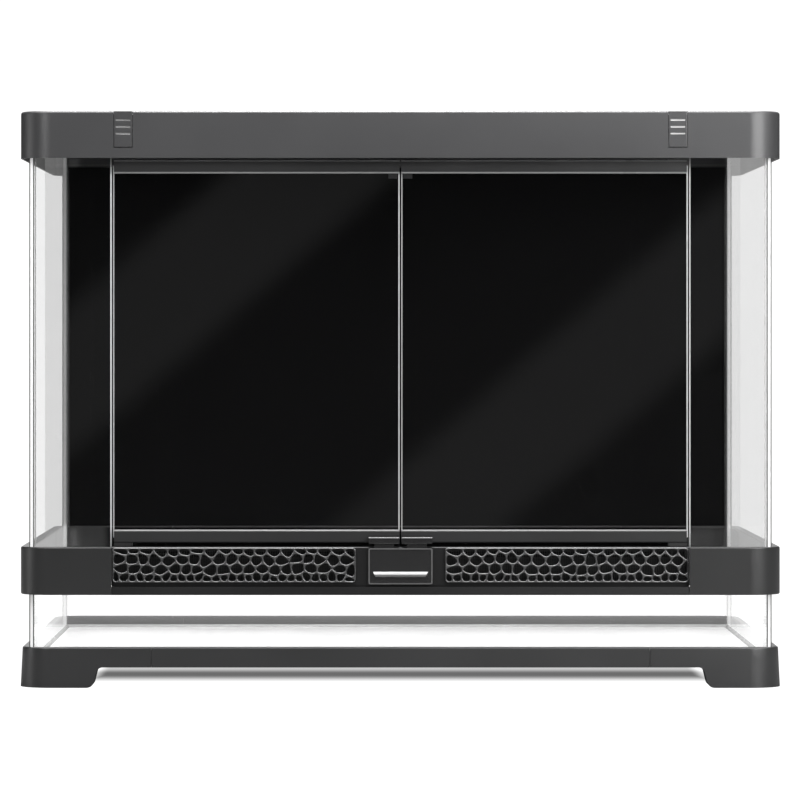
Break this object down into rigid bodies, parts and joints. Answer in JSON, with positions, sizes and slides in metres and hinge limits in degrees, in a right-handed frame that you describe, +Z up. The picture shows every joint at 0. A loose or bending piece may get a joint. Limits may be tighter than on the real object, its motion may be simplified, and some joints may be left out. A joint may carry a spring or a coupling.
{
  "type": "reptile terrarium",
  "caption": "Front-opening glass terrarium with black plastic frames, twin side-hung doors, vent strip, push latch and clipped mesh lid.",
  "frame": {"origin": "middle of the footprint, on the surface that the feet stand on", "axes": "+X to the right seen from the front, -Y towards the viewer (the doors), +Z up"},
  "size_m": [0.609, 0.454, 0.46],
  "materials": {
    "frame_black": "satin moulded charcoal plastic",
    "vent_black": "satin moulded black plastic",
    "panel_black": "smooth black sheet",
    "glass": "clear float glass, ground edges",
    "silicone": "clear aquarium silicone",
    "wire_mesh": "black coated woven wire",
    "steel": "plain stainless steel"
  },
  "bodies": {
    "tank": {"base_end_left": "frame_black", "base_end_right": "frame_black", "base_rail_front": "frame_black", "base_rail_rear": "frame_black", "floor_glass": "glass", "left_glass": "glass", "right_glass": "glass", "rear_glass": "glass", "lower_front_glass": "glass", "front_pane_left": "glass", "front_pane_right": "glass", "silicone_floor": "silicone", "silicone_corners": "silicone", "belt_left": "frame_black", "belt_right": "frame_black", "belt_rear": "frame_black", "vent_housing": "vent_black", "vent_grille_left": "vent_black", "vent_grille_right": "vent_black", "vent_mesh_left": "wire_mesh", "vent_mesh_right": "wire_mesh", "latch_spring": "steel", "hinge_pins_left": "steel", "hinge_pins_right": "steel", "background_panel": "panel_black", "top_frame": "frame_black"},
    "latch": {"latch_plate": "frame_black"},
    "left_door": {"left_door_glass": "glass", "left_door_top_rail": "frame_black", "left_door_bottom_rail": "frame_black", "left_door_catch": "frame_black"},
    "right_door": {"right_door_glass": "glass", "right_door_top_rail": "frame_black", "right_door_bottom_rail": "frame_black", "right_door_catch": "frame_black"},
    "clip_left": {"lid_clip_left": "frame_black"},
    "clip_right": {"lid_clip_right": "frame_black"},
    "lid": {"lid_frame": "frame_black", "lid_mesh": "wire_mesh"},
    "shutter_1": {"inlet_shutter_1": "vent_black"},
    "shutter_2": {"inlet_shutter_2": "vent_black"},
    "shutter_3": {"inlet_shutter_3": "vent_black"},
    "shutter_4": {"inlet_shutter_4": "vent_black"}
  },
  "joints": [
    {"name": "left_door_hinge", "type": "hinge", "parent": "tank", "child": "left_door", "pos_m": [-0.2215, -0.2125, 0.27], "axis": [0, 0, -1], "range_deg": [0, 110]},
    {"name": "right_door_hinge", "type": "hinge", "parent": "tank", "child": "right_door", "pos_m": [0.2215, -0.2125, 0.27], "axis": [0, 0, 1], "range_deg": [0, 110]},
    {"name": "latch_press", "type": "slide", "parent": "tank", "child": "latch", "axis": [0, 0, -1], "range_m": [0, 0.004], "stiffness_N_per_m": 400, "springref_m": -0.002, "deforming": ["latch_spring"]},
    {"name": "left_clip_flex", "type": "hinge", "parent": "tank", "child": "clip_left", "pos_m": [-0.2211, -0.2244, 0.4312], "axis": [1, 0, 0], "range_deg": [0, 7], "stiffness_Nm_per_rad": 0.2, "springref_deg": -2.86},
    {"name": "right_clip_flex", "type": "hinge", "parent": "tank", "child": "clip_right", "pos_m": [0.2211, -0.2244, 0.4312], "axis": [1, 0, 0], "range_deg": [0, 7], "stiffness_Nm_per_rad": 0.2, "springref_deg": -2.86},
    {"name": "lid_lift", "type": "slide", "parent": "tank", "child": "lid", "axis": [0, 0, 1], "range_m": [0, 0.06]},
    {"name": "shutter_1_slide", "type": "slide", "parent": "tank", "child": "shutter_1", "axis": [-1, 0, 0], "range_m": [0, 0.017]},
    {"name": "shutter_2_slide", "type": "slide", "parent": "tank", "child": "shutter_2", "axis": [-1, 0, 0], "range_m": [0, 0.017]},
    {"name": "shutter_3_slide", "type": "slide", "parent": "tank", "child": "shutter_3", "axis": [1, 0, 0], "range_m": [0, 0.017]},
    {"name": "shutter_4_slide", "type": "slide", "parent": "tank", "child": "shutter_4", "axis": [1, 0, 0], "range_m": [0, 0.017]}
  ]
}
